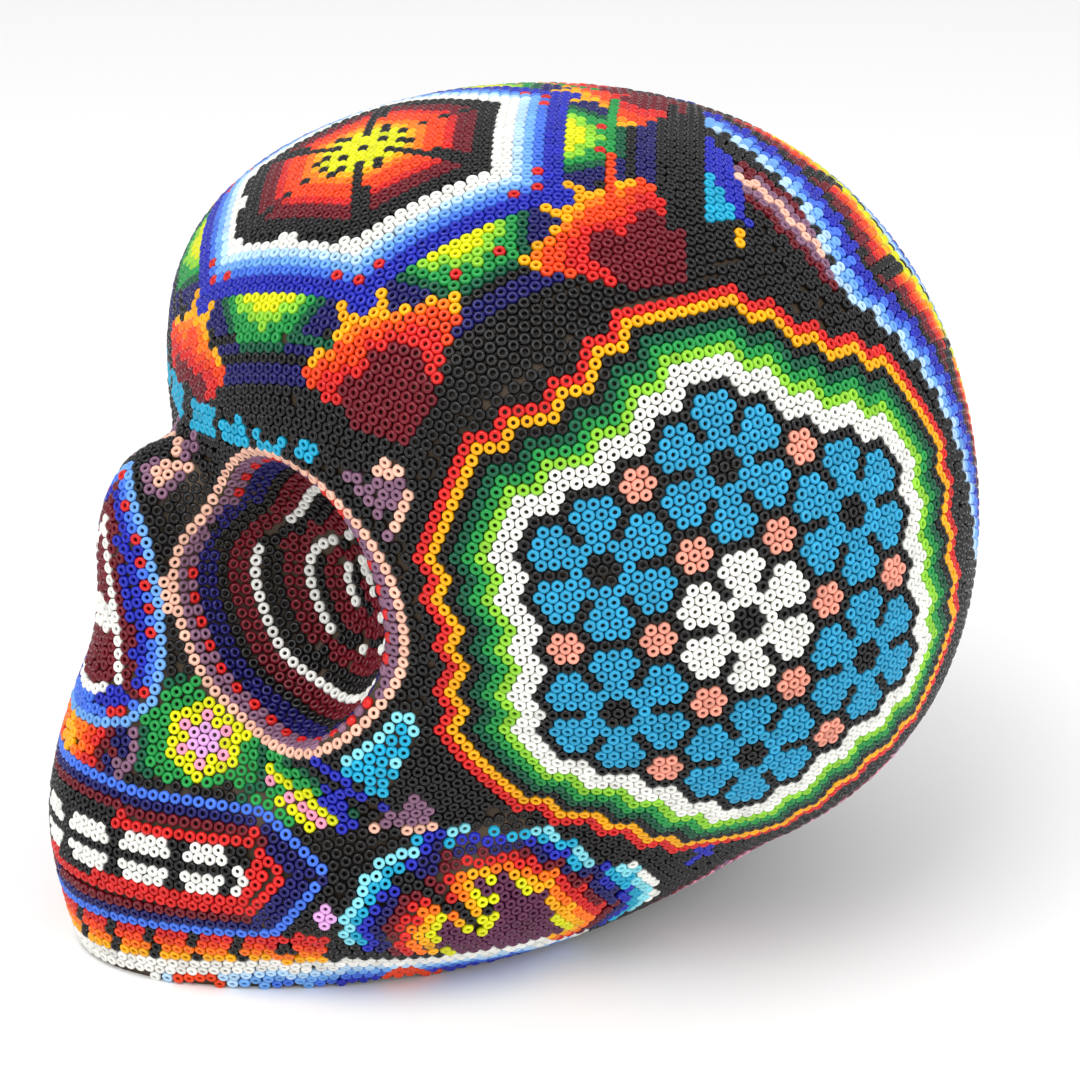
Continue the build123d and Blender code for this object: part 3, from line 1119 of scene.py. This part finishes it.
def make_piece(name, node, places, shades):
    """A piece of beads that takes the place of a node's plain coat."""
    slot = slots[node]
    if slot not in materials:
        materials[slot] = glass_material(slot, 0.16)
    mesh = bead_mesh(name, places, shades)
    mesh.materials.append(materials[slot])
    piece = bpy.data.objects.new(name, mesh)
    bpy.context.scene.collection.objects.link(piece)
    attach(piece, "root")
    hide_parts(node)


def split(name, node, places, shades):
    """One piece, or several side by side when there are too many beads for one."""
    parts = ceil(len(places) / MOST_BEADS)
    order = np.argsort(places[:, 1], kind="stable")
    for k, share in enumerate(np.array_split(order, parts)):
        suffix = "" if parts == 1 else f"_{k + 1}"
        make_piece(f"{name}{suffix}_beads", node, places[share], shades[share])


for node in sorted(set(owners)):
    mine = owners == node
    here, shades = points[mine], colours[mine]
    off = here[:, 0] > 0.01
    if node in WHOLE:
        both = np.vstack([here, here[off] * MIRROR])
        split(node, node, both, np.concatenate([shades, shades[off]]))
    else:
        split(node + "_left", node + "_left", here, shades)
        split(node + "_right", node + "_right", here[off] * MIRROR, shades[off])

wax = plain_material("beeswax", linear(60, 44, 24), 0.6, 60)
cast = plain_material("cast_core", linear(205, 196, 176), 0.85, 120)
for name, obj in frame["nodes"].items():
    obj.data.materials.clear()
    obj.data.materials.append(cast if name.startswith("skull_core") else wax)

# ---- Stage, camera and light ---------------------------------------------------------

FOCUS = Vector((0, 5, 65)) * MM
AZIMUTH, ELEVATION, REACH = radians(66.8), radians(21.7), 0.517
back_dir = Vector((sin(AZIMUTH) * cos(ELEVATION), -cos(AZIMUTH) * cos(ELEVATION), sin(ELEVATION)))

bpy.ops.mesh.primitive_plane_add(size=6, location=(0, 0, 0))
floor = bpy.context.object
floor.name = "floor"
floor_material = bpy.data.materials.new("floor")
floor_material.use_nodes = True
floor_material.node_tree.nodes["Principled BSDF"].inputs["Base Color"].default_value = (0.9, 0.9, 0.9, 1)
floor_material.node_tree.nodes["Principled BSDF"].inputs["Roughness"].default_value = 0.9
floor.data.materials.append(floor_material)

camera = bpy.data.objects.new("camera", bpy.data.cameras.new("camera"))
bpy.context.scene.collection.objects.link(camera)
camera.location = FOCUS + back_dir * REACH
camera.rotation_mode = "QUATERNION"
camera.rotation_quaternion = (-back_dir).to_track_quat("-Z", "Y")
camera.data.sensor_width = 36
camera.data.lens = 93.6
camera.data.shift_x = 0.0146
camera.data.shift_y = 0.0013
camera.data.clip_start = 0.01
bpy.context.scene.camera = camera

world = bpy.data.worlds.new("world")
world.use_nodes = True
world.node_tree.nodes["Background"].inputs["Color"].default_value = (1, 1, 1, 1)
world.node_tree.nodes["Background"].inputs["Strength"].default_value = 0.9
bpy.context.scene.world = world


def lamp(name, place, size, power):
    """A square lamp that faces the skull."""
    light = bpy.data.lights.new(name, "AREA")
    light.size = size
    light.energy = power
    obj = bpy.data.objects.new(name, light)
    bpy.context.scene.collection.objects.link(obj)
    obj.location = place
    obj.rotation_mode = "QUATERNION"
    obj.rotation_quaternion = (FOCUS - Vector(place)).to_track_quat("-Z", "Y")


lamp("key", (0.3, -0.5, 0.9), 0.7, 6)
lamp("fill", (0.9, 0.4, 0.5), 0.8, 4)

bpy.context.scene.view_settings.view_transform = "Standard"
